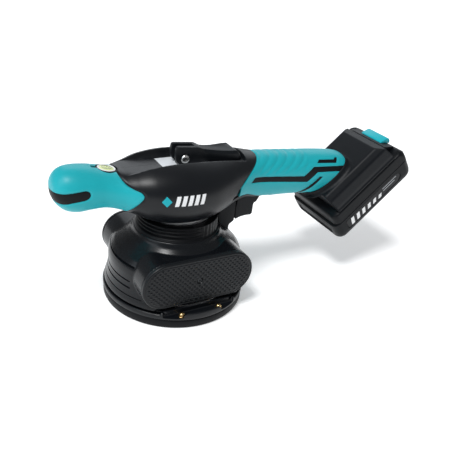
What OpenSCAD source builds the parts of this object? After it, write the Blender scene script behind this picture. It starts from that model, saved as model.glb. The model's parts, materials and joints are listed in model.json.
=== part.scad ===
// Cordless suction-cup tile vibrator: a vibrating base on a rubber cup, a cam lever that
// draws the cup, a front grip with a level, and a rear handle with trigger and slide-on battery.
// Origin at the centre of the cup's lower face, +Z up, +X along the handle to the battery.

/* [Suction base] */
// Radius of the rubber cup
cup_r = 61.5; // [60.5:0.5:62]
// Height of the rubber cup
cup_h = 8; // [7.5:0.5:8]
// Height of the top of the base ring
ring_top = 14; // [14:0.5:14.5]
// Lift of the draw rod when the cam lever is raised by a quarter turn
rod_lift = 3; // [2:0.5:3]

/* [Lower housing] */
// Radius of the round tub
tub_r = 57.7; // [57:0.5:59]
// Half length of a side pod
pod_l = 49.9; // [49:0.5:51]
// Half height of a side pod
pod_r = 20.8; // [20.5:0.1:21.5]
// Height of the pods' centre line
pod_z = 37.3; // [37:0.1:38]
// Distance of a pod's end face from the middle
pod_y = 50.2; // [50:0.2:51]
// Radius of the rubber neck
neck_r = 34; // [33:0.5:35]

/* [Motors] */
// Distance of each motor from the draw rod
motor_x = 28; // [28:0.5:28.5]
// Radius of a motor can
motor_r = 16.4; // [15.5:0.1:16.5]
// Radius of an eccentric weight
weight_r = 14.5; // [13:0.5:15]

/* [Cam lever] */
// Height of the lever's hinge pin
pin_z = 127; // [127:0.5:127.5]
// Radius of the hinge pin
pin_r = 2.5; // [2.2:0.1:2.8]
// Radius of the draw rod
rod_r = 4; // [3.5:0.1:4]
// Half width of the lever at its ears
ear_y = 6.4; // [6.2:0.1:6.8]
// Half width of the lever's tip
tip_y = 10.7; // [10:0.5:11.5]

/* [Battery] */
// Tilt of the battery and its dock, in degrees
tilt = 41.8; // [41:0.2:42.5]
// Half width of the battery
pack_y = 37; // [36.5:0.5:38]
// Thickness of the battery below its dock
pack_h = 30.5; // [29:0.5:31]

/* [Hidden] */

$fn = 64;
gap = 0.3;
wall = 2.4;
run = 0.05;
tunnel_r = 16.6;
cover_t = 3.2;
cam_low = 5;
cam_rise = rod_lift / 90;
channel_z = 122.3;
channel_y = 13;
plate_top = pin_z - cam_low - gap;
ring_n = 24;
dock_t = 31;
rail_t = 46;
level_x = -63.5;
level_tilt = 9;
level_z = 119.8;
level_hole = 8.8;
cut_low = 78;
roof_z = 116;
hinge_x = 60;
hinge_z = 92;
trigger_y = 8.5;

// ---- Outer form of the upper body: [x, lowest z, highest z, half width] along the handle ----
body_stations = [[-106.4, 109, 113.5, 2], [-105, 104, 119, 8.5], [-101.5, 98.5, 123.8, 13.5],
    [-96, 94.2, 126.8, 17], [-88, 92.3, 127.6, 19], [-78, 93.2, 126.7, 19.6],
    [-67, 93.6, 124.6, 20], [-56, 91, 123.2, 23], [-45, 86.2, 125, 28.5], [-32, 79.6, 128.4, 35],
    [-16, 75.4, 130.2, 39], [0, 74, 130.2, 40], [16, 75.4, 129.6, 38], [30, 79, 128.9, 33],
    [43, 83, 128.2, 27], [55, 84.4, 127, 22], [68, 83.2, 124.6, 19], [82, 82.2, 123.6, 18.2],
    [100, 81.5, 122.2, 18], [120, 80, 120.6, 18], [140, 78.4, 118.8, 18], [158, 77.5, 116.4, 18],
    [166, 81, 113.4, 16.5], [170.5, 88, 106.5, 12]];
last = len(body_stations) - 1;

// Catmull-Rom value through four numbers
function spline(a, b, c, d, t) =
    b + 0.5 * t * (c - a + t * (2 * a - 5 * b + 4 * c - d + t * (3 * (b - c) + d - a)));
// Station at a fractional index
function station(i) =
    let (k = min(floor(i), last - 1), t = i - k,
        p = body_stations[max(k - 1, 0)], q = body_stations[k],
        r = body_stations[k + 1], s = body_stations[min(k + 2, last)])
    [for (j = [0:3]) spline(p[j], q[j], r[j], s[j], t)];
// Closed section at a station, moved inwards by d
function section(s, d) =
    let (zc = (s[1] + s[2]) / 2, h = max((s[2] - s[1]) / 2 - d, 0.4), w = max(s[3] - d, 0.4))
    [for (k = [0:ring_n - 1]) let (a = 360 * k / ring_n)
        [s[0], w * sign(cos(a)) * pow(abs(cos(a)), 0.9), zc + h * sign(sin(a)) * pow(abs(sin(a)), 0.9)]];

// Solid through the stations from index i0 to i1, moved inwards by d
module body_form(i0, i1, d) {
    steps = ceil((i1 - i0) * 2);
    rings = [for (i = [0:steps]) section(station(i0 + (i1 - i0) * i / steps), d)];
    points = [for (r = rings) each r];
    sides = [for (i = [0:steps - 1]) for (k = [0:ring_n - 1])
        let (a = i * ring_n + k, b = i * ring_n + (k + 1) % ring_n)
        each [[a, a + ring_n, b + ring_n], [a, b + ring_n, b]]];
    caps = [[for (k = [0:ring_n - 1]) k],
        [for (k = [ring_n - 1:-1:0]) steps * ring_n + k]];
    polyhedron(points, concat(sides, caps), convexity = 6);
}

// Prism along Y through an outline in X and Z
module prism(points, y0, y1) {
    translate([0, y1, 0]) rotate([90, 0, 0]) linear_extrude(y1 - y0) polygon(points);
}
// Cylinder along Y
module ycyl(r, x, z, y0, y1) {
    translate([x, y0, z]) rotate([-90, 0, 0]) cylinder(r = r, h = y1 - y0);
}
// Frame of the battery: its X runs up the rail and its Z stands out of the dock's top
module tilted() { rotate([0, -tilt, 0]) children(); }
// Block in the battery's frame: s along the rail, t down from the dock's top
module tblock(s0, s1, t0, t1, y) {
    translate([s0, -y, -t1]) cube([s1 - s0, 2 * y, t1 - t0]);
}

// ---- Outlines in X and Z ----
// Edge between the front grip and the black body
grip_edge = [[-57.5, 130], [-57.5, 122], [-54, 116.6], [-48.5, 114], [-43.6, 111.2], [-43, 108.4],
    [-46, 104], [-50, 97.5], [-52, 90], [-54, 80]];
// Edge between the black body and the rear grip
rear_edge = [[69.4, 130], [68.6, 124.4], [64, 120], [54, 112.8], [47, 107.6], [41, 102], [35.2, 95.2],
    [46, 94.8], [56, 93.4], [62, 90.6], [72, 86], [84, 84.4], [85.6, 70]];
trigger_outline = [[56, 95], [64, 95], [66, 90.5], [78, 90.4], [84, 88.4], [76.4, 86.4], [74.6, 82.6],
    [72.4, 79.3], [70, 78.2], [69.8, 68.2], [68.4, 67], [62.8, 67.2], [56, 66.6], [53.8, 68.2],
    [52.6, 76], [54, 88]];
// Space in the housing that the trigger swings in
trigger_bay = [[50, 60], [50, 98], [66.5, 98], [72, 95], [86, 94], [86, 60]];

// ================= Suction base =================
module suction_cup() color("#26282a") rotate_extrude($fn = 96)
    polygon([[30, 1.5], [47, 1.5], [50, 0], [cup_r - 1, 0], [cup_r, 1], [cup_r, cup_h - 1],
        [cup_r - 1, cup_h], [34, cup_h], [34, 5], [30, 5]]);
module cup_diaphragm() color("#2b2d2f") difference() {
    translate([0, 0, 1.5]) cylinder(r = 29.6, h = 3.5);
    translate([0, 0, 1]) cylinder(r = 3, h = 1.5);
}
module diaphragm_plate() color("silver") translate([0, 0, 5]) cylinder(r = 22, h = 3);
module base_plate() color("#b9bcc0") difference() {
    translate([0, 0, cup_h]) cylinder(r = 50, h = ring_top - cup_h + 1);
    translate([0, 0, cup_h - 1]) cylinder(r = 31, h = 1.6);
    translate([0, 0, cup_h - 1]) cylinder(r = 24, h = 4.4);
    cylinder(r = rod_r + 1, h = 30);
}
module base_ring() color("#303236") difference() {
    rotate_extrude($fn = 96)
        polygon([[50, cup_h], [62, cup_h], [62, 12.5], [60.5, ring_top], [50, ring_top]]);
    for (m = [-1, 1]) translate([-31, m > 0 ? 51.5 : -59.5, 10]) cube([62, 8, 9]);
}
module ring_screws() color("#c9a23c") for (x = [-17, 17], y = [-1, 1])
    translate([x, y * 55.6, 10]) {
        cylinder(r = 2.6, h = 2.6);
        translate([0, 0, 2.6]) intersection() {
            sphere(r = 2.6);
            cylinder(r = 3, h = 3);
        }
    }

// ================= Lower housing =================
module stadium(l, r, y0, y1) {
    translate([0, y1, pod_z]) rotate([90, 0, 0]) linear_extrude(y1 - y0) {
        for (x = [-1, 1]) translate([x * (l - r), 0]) circle(r = r);
        square([2 * (l - r), 2 * r], center = true);
    }
}
module lower_housing() color("#34363a") difference() {
    union() {
        intersection() {
            rotate_extrude($fn = 96) polygon([[0, ring_top + 1], [50, ring_top + 1], [50, ring_top],
                [60.4, ring_top], [59.7, 19], [58.4, 25], [tub_r, 31], [tub_r, 40], [56.2, 46],
                [52, 51.5], [46, 55.8], [39, 60], [36.6, 63], [36.6, 66], [0, 66]]);
            translate([-70, -pod_y + cover_t, 0]) cube([140, 2 * (pod_y - cover_t), 80]);
        }
        stadium(pod_l, pod_r, -pod_y + cover_t, pod_y - cover_t);
    }
    for (x = [-1, 1]) ycyl(tunnel_r, x * motor_x, pod_z, -60, 60);
    cylinder(r = rod_r + 1, h = 90);
    translate([0, 0, 62]) cylinder(r = 28, h = 10);
    ycyl(1.6, 0, pod_z, -60, -35);
    ycyl(1.6, 0, pod_z, 35, 60);
}
// Cover plate of the pod on the side m of the middle
module pod_cover(m) {
    y0 = m < 0 ? -pod_y : pod_y - cover_t;
    difference() {
        stadium(pod_l, pod_r, y0, y0 + cover_t);
        ycyl(1.8, 0, pod_z, y0 - 1, y0 + cover_t + 1);
        ycyl(3.4, 0, pod_z, m < 0 ? y0 - 1 : y0 + 1.6, m < 0 ? y0 + 1.6 : y0 + cover_t + 1);
    }
}
module pod_cover_left() color("#2c2e31") pod_cover(-1);
module pod_cover_right() color("#2c2e31") pod_cover(1);
module pod_screws() color("#8b8e92") for (m = [-1, 1]) scale([1, m, 1]) {
    ycyl(1.55, 0, pod_z, 36, pod_y - cover_t + 1.7);
    ycyl(3.2, 0, pod_z, pod_y - cover_t + 1.7, pod_y - 0.4);
}
module neck_bellows() color("#2a2c2f") rotate_extrude($fn = 96) polygon([[28.4, 66], [neck_r, 66],
    [neck_r + 1.4, 67.4], [neck_r + 1.4, 69], [neck_r - 1, 70], [neck_r + 1, 71.4], [neck_r + 1, 73],
    [neck_r - 1, 74], [neck_r, 75.4], [neck_r, cut_low], [28.4, cut_low]]);
module neck_plate() color("#a9acb0") translate([0, 0, cut_low]) difference() {
    cylinder(r = 28, h = 4);
    translate([0, 0, -1]) cylinder(r = rod_r + 1, h = 6);
}
module isolator_buffers() color("#3b3b3d") for (a = [45:90:359]) rotate([0, 0, a]) translate([21, 0, 62])
    cylinder(r = 5, h = 16);
module cable_boot() color("#2a2c2f") difference() {
    prism([[33, 79.4], [36, 60.6], [38, 56.6], [46.4, 52.8], [46.8, 60.6], [50.4, 64.6], [51.4, 70],
        [51.4, 83], [43, 82.2], [34.5, 79.4]], -8.6, 8.6);
    cylinder(r = 36.8, h = 90);
    rotate_extrude($fn = 96) polygon([[0, 40], [tub_r, 40], [56.4, 46], [52.2, 51.7], [46.2, 56],
        [39.4, 60.2], [37, 63.2], [0, 63.2]]);
}

// ================= Motors =================
module motor_can(x) difference() {
    ycyl(motor_r, x, pod_z, -26, 26);
    ycyl(motor_r - 1.6, x, pod_z, -27, 27);
}
module motor_can_front() color("#9a9da1") motor_can(-motor_x);
module motor_can_rear() color("#9a9da1") motor_can(motor_x);
module motor_end_caps() color("#6f7276") for (x = [-1, 1], m = [-1, 1]) scale([1, m, 1]) difference() {
    ycyl(motor_r - 1.6, x * motor_x, pod_z, 22.5, 26);
    ycyl(5.5, x * motor_x, pod_z, 22, 27);
}
module motor_bearings() color("#c6c8cb") for (x = [-1, 1], m = [-1, 1]) scale([1, m, 1]) difference() {
    ycyl(5.5, x * motor_x, pod_z, 22.5, 26);
    ycyl(2.5 + run, x * motor_x, pod_z, 22, 27);
}
module rotor_shaft(x) ycyl(2.5, x, pod_z, -44, 44);
module rotor_core(x) difference() {
    ycyl(12.5, x, pod_z, -18, 18);
    ycyl(2.5, x, pod_z, -19, 19);
}
// Pair of eccentric weights hanging below the shaft
module rotor_weights(x) for (m = [-1, 1]) scale([1, m, 1]) difference() {
    union() {
        intersection() {
            ycyl(weight_r, x, pod_z, 30, 42);
            translate([x - 20, 29, pod_z - 20]) cube([40, 14, 18]);
        }
        ycyl(5, x, pod_z, 30, 42);
    }
    ycyl(2.5, x, pod_z, 29, 43);
}
module rotor_shaft_front() color("silver") rotor_shaft(-motor_x);
module rotor_core_front() color("#8a5a34") rotor_core(-motor_x);
module rotor_weights_front() color("#77797c") rotor_weights(-motor_x);
module rotor_shaft_rear() color("silver") rotor_shaft(motor_x);
module rotor_core_rear() color("#8a5a34") rotor_core(motor_x);
module rotor_weights_rear() color("#77797c") rotor_weights(motor_x);

// ================= Draw rod and cam lever =================
module draw_rod() color("#d0d2d4") difference() {
    union() {
        translate([0, 0, 8]) cylinder(r = rod_r, h = pin_z - 12);
        intersection() {
            ycyl(5, 0, pin_z, -2.8, 2.8);
            translate([-5, -2.8, pin_z - 5]) cube([10, 5.6, 10]);
        }
        translate([-rod_r + 0.2, -2.8, pin_z - 6]) cube([2 * rod_r - 0.4, 5.6, 6]);
    }
    ycyl(pin_r, 0, pin_z, -10, 10);
    for (m = [-1, 1]) scale([1, m, 1]) translate([-6, 2.8, pin_z - 9]) cube([12, 4, 30]);
}
module rod_bush() color("#b98c4a") difference() {
    union() {
        translate([0, 0, 84]) cylinder(r = 8, h = 6);
        translate([0, 0, 82]) cylinder(r = 12, h = 2);
    }
    translate([0, 0, 80]) cylinder(r = rod_r + run, h = 12);
}
module rod_collar() color("#8b8e92") difference() {
    translate([0, 0, 93.5]) cylinder(r = 8, h = 2);
    translate([0, 0, 93]) cylinder(r = rod_r, h = 4);
}
spring_low = 95.8;
spring_high = 116;
spring_turns = 5;
spring_r = 6.4;
wire_r = 0.7;
// Point on the spring's centre line at angle a
function coil(a) = [spring_r * cos(a), spring_r * sin(a),
    spring_low + wire_r + (spring_high - spring_low - 2 * wire_r) * a / (360 * spring_turns)];
module rod_spring() color("#b4b7ba") {
    sides = 8;
    steps = spring_turns * 16;
    points = [for (i = [0:steps]) let (a = 360 * spring_turns * i / steps, c = coil(a))
        for (k = [0:sides - 1]) let (b = 360 * k / sides)
        [c[0] + wire_r * cos(b) * cos(a), c[1] + wire_r * cos(b) * sin(a), c[2] + wire_r * sin(b)]];
    faces = [for (i = [0:steps - 1]) for (k = [0:sides - 1])
        let (a = i * sides + k, b = i * sides + (k + 1) % sides)
        each [[a, a + sides, b + sides], [a, b + sides, b]]];
    polyhedron(points, concat(faces, [[for (k = [0:sides - 1]) k],
        [for (k = [sides - 1:-1:0]) steps * sides + k]]), convexity = 10);
}
module lever_pin() color("#c6c8cb") {
    ycyl(pin_r, 0, pin_z, -ear_y - 0.3, ear_y + 0.3);
    for (m = [-1, 1]) scale([1, m, 1]) difference() {
        ycyl(3.5, 0, pin_z, ear_y + 0.3, ear_y + 2);
        ycyl(1.4, 0, pin_z, ear_y + 1, ear_y + 3);
    }
}
// Cam curve of an ear: its distance from the pin grows evenly through a quarter turn
function cam(a) = let (h = cam_low + cam_rise * a, g = cam_rise * 180 / PI)
    [-h * sin(a) - g * cos(a), pin_z - h * cos(a) + g * sin(a)];
ear_outline = concat([[14, pin_z - cam_low]], [for (a = [0:10:90]) cam(a)],
    [[-8, pin_z + 6], [-7.2, pin_z + 8.6], [-5, pin_z + 10.4], [12.5, pin_z + 8.4],
        [16, pin_z + 6], [16, pin_z - 3.6]]);
arm_outline = [[13, pin_z - 4.2], [13, pin_z + 8.3], [24, pin_z + 5.2], [40, pin_z + 4], [46.5, pin_z + 3.8],
    [50, pin_z + 1], [51, pin_z - 3.4], [49, pin_z - 4.2]];
module cam_lever() color("#2b2d30") difference() {
    union() {
        intersection() {
            prism(arm_outline, -tip_y, tip_y);
            linear_extrude(200) polygon([[12, -ear_y], [24, -ear_y - 0.6], [40, -tip_y], [60, -tip_y],
                [60, tip_y], [40, tip_y], [24, ear_y + 0.6], [12, ear_y]]);
        }
        prism(ear_outline, -ear_y, ear_y);
    }
    prism([[-20, 100], [-20, 150], [9.5, 150], [9.5, 100]], -3.1, 3.1);
    ycyl(pin_r + run, 0, pin_z, -20, 20);
}
module cam_plate() color("#d4d7da") difference() {
    translate([-19, -12.6, channel_z - 3.2]) cube([40, 25.2, plate_top - channel_z + 3.2]);
    translate([0, 0, 100]) cylinder(r = rod_r + 1.2, h = 40);
}

// ================= Upper housing =================
// Space above the channel between the two shoulders, with room for the lever
module channel() {
    translate([-19, -channel_y, channel_z - 3.2 - gap]) cube([40 + gap, 2 * channel_y, 20]);
    translate([-80, -channel_y, channel_z]) cube([133, 2 * channel_y, 20]);
    hull() {
        translate([-80, -26, channel_z]) cube([26, 52, 20]);
        translate([-30, -channel_y, channel_z]) cube([5, 2 * channel_y, 20]);
    }
}
// Black shell around the middle, with a core that reaches into both grips
module upper_shell() difference() {
    union() {
        difference() {
            body_form(0, last, 0);
            prism(concat([[-120, 130]], grip_edge, [[-120, 80]]), -50, 50);
            prism(concat(rear_edge, [[180, 70], [180, 130]]), -50, 50);
        }
        body_form(2, last - 1, wall);
    }
    difference() {
        body_form(3, last - 2, 2 * wall);
        translate([-70, -60, roof_z]) cube([124, 120, 40]);
    }
    channel();
    translate([level_x, 0, 100]) cylinder(r = level_hole, h = 40);
    translate([0, 0, 60]) cylinder(r = 28.2, h = cut_low - 56);
    translate([0, 0, 60]) cylinder(r = rod_r + 1.2, h = 70);
    prism(trigger_bay, -trigger_y - 0.4, trigger_y + 0.4);
    tilted() tblock(100, 260, dock_t, 80, 50);
    translate([-200, -60, 0]) cube([400, 120, cut_low]);
}
// Housing screws, all driven from the +Y side: [x, z, depth of the head's seat]
screws = [[-34, 94, 24], [25, 93, 20], [-38, 109, 20], [44, 109, 16], [98.5, 88, 8], [140, 92, 8]];
// Half of the black housing on the side m of the parting plane
module housing_half(m) difference() {
    union() {
        intersection() {
            upper_shell();
            translate([-150, m < 0 ? -60 : 0, 0]) cube([400, 60, 200]);
        }
        intersection() {
            for (p = screws) ycyl(3.6, p[0], p[1], m > 0 ? 0 : -50, m > 0 ? 50 : 0);
            body_form(2, last - 1, wall);
        }
    }
    for (p = screws) {
        ycyl(m > 0 ? 1.8 : 1.5, p[0], p[1], -4, 60);
        if (m > 0) ycyl(2.7, p[0], p[1], p[2], 60);
    }
    if (m < 0) ycyl(2, hinge_x, hinge_z, -11.4, 1);
    if (m > 0) ycyl(2, hinge_x, hinge_z, -1, 11.4);
}
module housing_left() color("#33363a") housing_half(-1);
module housing_right() color("#33363a") housing_half(1);
module housing_screws() color("#7d8084") for (p = screws) {
    ycyl(1.5, p[0], p[1], -4, p[2]);
    ycyl(2.5, p[0], p[1], p[2], p[2] + 2.4);
}
module front_grip() color("#2aa9b3") difference() {
    intersection() {
        body_form(0, 10, 0);
        prism(concat([[-120, 130]], grip_edge, [[-120, 80]]), -50, 50);
    }
    body_form(2, 11, wall);
    grip_band(1.2);
    translate([level_x, 0, 100]) cylinder(r = level_hole, h = 40);
    translate([level_x - 12.4, -1.9, 120]) cube([12.4, 3.8, 20]);
}
// Band round the nose that holds the black inlay, cut to depth d
module grip_band(d) difference() {
    prism([[-120, 112.6], [-106, 112.2], [-100, 112.6], [-94, 113.8], [-84, 115.2], [-81, 113.6],
        [-80.8, 110.2], [-83.6, 107.8], [-93, 106], [-100, 103.4], [-106, 103.6], [-120, 104]], -40, 40);
    body_form(0, 10, d);
}
module grip_inlay() color("#303236") difference() {
    intersection() {
        body_form(0, 10, 0);
        grip_band(1.2);
    }
    body_form(2, 11, wall);
}
module rear_grip() color("#2aa9b3") difference() {
    intersection() {
        body_form(13, last, 0);
        prism(concat(rear_edge, [[180, 70], [180, 130]]), -50, 50);
    }
    body_form(12, last - 1, wall);
    stripe_band(1);
    tilted() tblock(100, 260, dock_t, 80, 50);
    prism(trigger_bay, -trigger_y - 0.4, trigger_y + 0.4);
    for (p = screws) ycyl(2.7, p[0], p[1], p[2], 60);
}
// Bands on both flanks of the handle that hold the black stripes, cut to depth d
module stripe_band(d) difference() {
    for (m = [-1, 1]) scale([1, m, 1]) union() {
        prism([[56.4, 104.8], [60.6, 108.8], [114.5, 102.8], [125, 110], [160, 107], [160, 102.4],
            [129.4, 104.8], [119, 96.6]], 4, 40);
        prism([[129.3, 112.6], [132.3, 114.8], [149.7, 113.2], [152, 114.4], [154.4, 114],
            [151.6, 110.4]], 4, 40);
        prism([[112, 82], [132.4, 100.4], [136, 99.8], [119, 82]], 4, 40);
    }
    body_form(12, last - 1, d);
}
module grip_stripes() color("#303236") difference() {
    intersection() {
        body_form(13, last, 0);
        stripe_band(1);
    }
    body_form(12, last - 1, wall);
    tilted() tblock(100, 260, dock_t, 80, 50);
}

// ================= Level =================
module level_place() translate([level_x, 0, level_z]) rotate([0, level_tilt, 0]) children();
module level_bezel() color("#2b2d30") level_place() difference() {
    union() {
        cylinder(r = 8.2, h = 3.4);
        translate([-12, -1.6, 2.7]) cube([12, 3.2, 0.8]);
    }
    translate([0, 0, -1]) cylinder(r = 7.1, h = 6);
}
module level_fluid() color("#dfe8a8") level_place() difference() {
    cylinder(r = 6.4, h = 2.6);
    translate([0.8, 0.5, 1.3]) sphere(r = 1.1);
}
module level_vial() color("#f2f4f0", 0.5) level_place() difference() {
    union() {
        translate([0, 0, -1]) cylinder(r = 7.1, h = 4.6);
        translate([0, 0, 3.6]) intersection() {
            translate([0, 0, -15.4]) sphere(r = 16.6);
            cylinder(r = 6.2, h = 3);
        }
    }
    cylinder(r = 6.4, h = 2.6);
}

// ================= Trigger and electrics =================
module trigger() color("#2b2d30") difference() {
    prism(trigger_outline, -trigger_y, trigger_y);
    ycyl(2 + run, hinge_x, hinge_z, -20, 20);
    // rounded lower edges of the finger face
    for (m = [-1, 1]) scale([1, m, 1]) translate([50, 6, 64.6]) rotate([45, 0, 0]) cube([40, 3, 6]);
}
module trigger_pin() color("silver") ycyl(2, hinge_x, hinge_z, -11.4, 11.4);
module trigger_switch() color("#1f2022") translate([66, -8, 97]) cube([30, 16, 14]);
module switch_plunger() color("#a33a2c") translate([74, -2.5, 93.6]) cube([5, 5, 3.4]);
module control_board() color("#2c6b3f") translate([102, -12, 96]) cube([40, 24, 1.6]);

// ================= Dock and battery, in the tilted frame =================
dock_s0 = 157;
dock_s1 = 229.6;
// Section of the dock across the rail, as [y, t]
dock_half = [[23.6, dock_t], [26, dock_t + 1], [34.6, 41], [pack_y, 43], [pack_y, rail_t - gap]];
module dock_form(inset) {
    points = [for (p = dock_half) [p[0] - inset, -p[1] - (p[1] < 40 ? inset : 0)]];
    rotate([90, 0, 90]) linear_extrude(dock_s1 - dock_s0 - 2 * inset)
        polygon(concat(points, [for (i = [len(points) - 1:-1:0]) [-points[i][0], points[i][1]]]));
}
module battery_dock() color("#3a3c40") tilted() difference() {
    translate([dock_s0, 0, 0]) dock_form(0);
    // lower end and upper end bevels
    translate([dock_s0, 0, -dock_t]) rotate([0, -52, 0]) translate([-20, -50, 0]) cube([40, 100, 30]);
    translate([222, 0, -dock_t]) rotate([0, 38, 0]) translate([0, -50, 0]) cube([40, 100, 30]);
    // rail: head space, neck space and the open mouth
    tblock(dock_s0 + 6, 300, 37.6, 43.5, 22.4);
    tblock(dock_s0 + 6, 300, 43, 50, 18.4);
    tblock(dock_s0 - 1, 300, rail_t - 1.6, 50, 14);
}
module terminal_block() color("#1f2022") tilted() tblock(dock_s0 + 6, dock_s0 + 12, 37.6, 43.5, 15);
module dock_contacts() color("#c9a23c") tilted() for (y = [-10, 0, 10])
    translate([dock_s0 + 12, y - 0.4, -43]) cube([9, 0.8, 4.6]);
// Rounded block in the battery's frame
module pack_block(s0, s1, t0, t1, y, r) {
    translate([0, 0, -t1]) linear_extrude(t1 - t0) hull() for (s = [s0 + r, s1 - r], m = [-1, 1])
        translate([s, m * (y - r)]) circle(r = r, $fn = 32);
}
pack_s0 = 143.5;
pack_s1 = 241.5;
pack_mid = 58;
module battery_top() color("#2f3134") tilted() difference() {
    union() {
        pack_block(pack_s0 + 3, pack_s1, rail_t, pack_mid, pack_y, 6);
        tblock(dock_s0 + 14, 231, 42.8, rail_t + 1, 18);
        tblock(dock_s0 + 14, 231, 38, 43.2, 22);
        intersection() {
            tblock(230, pack_s1 - 1, 34, rail_t + 1, 26);
            translate([222, 0, -dock_t]) rotate([0, 38, 0]) translate([0, -50, -60]) cube([60, 100, 60]);
        }
    }
    tblock(pack_s0 + 8, pack_s1 - 8, rail_t + 2.4, 90, pack_y - 4);
    for (y = [-10, 0, 10]) blade_slot(y);
    button_place() translate([-0.3, -14.5, -4.4]) cube([12, 29, 10]);
}
// Slot for the contact blade at y across the rail
module blade_slot(y) translate([dock_s0 + 13, y - 1.2, -45]) cube([11, 2.4, 9]);
module battery_base() color("#2b2d30") tilted() difference() {
    hull() {
        pack_block(pack_s0 + 1, pack_s1, pack_mid, pack_mid + 1, pack_y, 6);
        pack_block(pack_s0, pack_s1 - 2, rail_t + pack_h - 5, rail_t + pack_h - 4, pack_y, 7);
        pack_block(pack_s0 + 3, pack_s1 - 4, rail_t + pack_h - 1, rail_t + pack_h, pack_y - 3, 6);
    }
    tblock(pack_s0 + 8, pack_s1 - 8, 40, rail_t + pack_h - 3, pack_y - 4);
}
module battery_badge() color("#1d1e20") tilted() for (m = [-1, 1])
    translate([160, m < 0 ? -pack_y - 0.3 : pack_y, -69.4]) cube([62, 0.3, 8.4]);
module cell_row(r, y0, y1) for (i = [0:3]) translate([163 + i * 19.4, y0, -61])
    rotate([-90, 0, 0]) cylinder(r = r, h = y1 - y0);
module battery_cells() color("#3f6fb0") tilted() cell_row(9.1, -31.4, 31.4);
module cell_straps() color("#c8c9c4") tilted() for (m = [-1, 1]) scale([1, m, 1])
    translate([158, 31.4, -64]) cube([69, 0.4, 6]);
module battery_board() color("#2c6b3f") tilted() tblock(160, 225, 49.2, 50.6, 28);
// Frame of the release button on the battery's upper end
module button_place() translate([222, 0, -dock_t]) rotate([0, 38, 0]) translate([15.5, 0, 0]) children();
module release_button() color("#2aa9b3") tilted() button_place()
    translate([0, -14.2, -2.2]) cube([11.2, 28.4, 3.4]);

suction_cup();
cup_diaphragm();
diaphragm_plate();
base_plate();
base_ring();
ring_screws();
lower_housing();
pod_cover_left();
pod_cover_right();
pod_screws();
motor_can_front();
motor_can_rear();
motor_end_caps();
motor_bearings();
rotor_shaft_front();
rotor_core_front();
rotor_weights_front();
rotor_shaft_rear();
rotor_core_rear();
rotor_weights_rear();
neck_bellows();
neck_plate();
isolator_buffers();
cable_boot();
draw_rod();
rod_bush();
rod_collar();
rod_spring();
lever_pin();
cam_lever();
cam_plate();
housing_left();
housing_right();
housing_screws();
front_grip();
grip_inlay();
level_bezel();
level_vial();
level_fluid();
rear_grip();
grip_stripes();
trigger();
trigger_pin();
trigger_switch();
switch_plunger();
control_board();
battery_dock();
terminal_block();
dock_contacts();
battery_top();
battery_base();
battery_cells();
cell_straps();
battery_board();
battery_badge();
release_button();
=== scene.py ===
"""Looks of a cordless suction-cup tile vibrator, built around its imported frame.

Shapes are worked out in millimetres and scaled to metres when a mesh is made.
"""

import json
from math import atan2, cos, pi, radians, sin, tan

import bpy
import numpy as np
from mathutils import Matrix, Vector


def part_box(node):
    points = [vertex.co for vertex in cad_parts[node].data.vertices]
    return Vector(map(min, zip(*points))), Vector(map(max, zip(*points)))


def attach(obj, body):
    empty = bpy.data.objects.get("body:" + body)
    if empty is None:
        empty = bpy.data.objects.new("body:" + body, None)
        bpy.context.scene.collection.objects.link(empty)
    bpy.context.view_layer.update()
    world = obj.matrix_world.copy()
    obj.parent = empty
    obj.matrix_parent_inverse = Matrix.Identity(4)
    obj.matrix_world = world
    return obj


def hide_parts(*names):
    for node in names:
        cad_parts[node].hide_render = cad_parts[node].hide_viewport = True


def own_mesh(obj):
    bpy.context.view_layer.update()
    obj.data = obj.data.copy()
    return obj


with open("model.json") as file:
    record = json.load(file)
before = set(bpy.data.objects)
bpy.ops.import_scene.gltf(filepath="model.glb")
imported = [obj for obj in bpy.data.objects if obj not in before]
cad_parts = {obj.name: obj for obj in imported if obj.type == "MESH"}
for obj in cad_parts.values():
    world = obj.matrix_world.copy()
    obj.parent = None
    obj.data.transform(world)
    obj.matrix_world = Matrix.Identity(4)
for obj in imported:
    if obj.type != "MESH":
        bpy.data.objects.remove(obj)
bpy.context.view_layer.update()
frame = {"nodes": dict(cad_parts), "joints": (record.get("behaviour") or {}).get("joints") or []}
MM = 0.001


# ---- places from the frame
def box_mm(node):
    low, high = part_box(node)
    return np.array(low) / MM, np.array(high) / MM


def joint_named(name):
    return next(j for j in frame["joints"] if j["name"] == name)


PIN_Z = joint_named("lever_hinge")["pos_m"][2] / MM
slide = joint_named("battery_slide")["axis"]
TILT = atan2(slide[2], slide[0])
CUP_LOW, CUP_HIGH = box_mm("suction_cup")
RING_LOW, RING_HIGH = box_mm("base_ring")
NECK_LOW, NECK_HIGH = box_mm("neck_bellows")
COVER_LOW, COVER_HIGH = box_mm("pod_cover_left")
PLATE_LOW, PLATE_HIGH = box_mm("cam_plate")
CUP_R = CUP_HIGH[0]
RING_R = RING_HIGH[0]
POD_L = COVER_HIGH[0]
POD_R = (COVER_HIGH[2] - COVER_LOW[2]) / 2
POD_Z = (COVER_HIGH[2] + COVER_LOW[2]) / 2
POD_Y = -COVER_LOW[1]
COVER_T = COVER_HIGH[1] - COVER_LOW[1]
NECK_R = 34.0
CHANNEL_Z = 122.3
DOCK_T = 31.0
RAIL_T = 46.0
BEVEL = radians(38)
BEVEL_S = 222
DOCK_S = (157.0, 229.6)
PACK_Y = 37.0
LEVEL = (-63.5, 119.8, radians(9))
CORE_DEPTH = 1.7
ROD_HOLE = 5.2
tilted = Matrix.Rotation(-TILT, 4, "Y")


# ---- mesh helpers
def new_piece(name, points, faces):
    mesh = bpy.data.meshes.new(name)
    mesh.from_pydata((np.asarray(points, float) * MM).tolist(), [], faces)
    obj = bpy.data.objects.new(name, mesh)
    bpy.context.scene.collection.objects.link(obj)
    return obj


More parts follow.
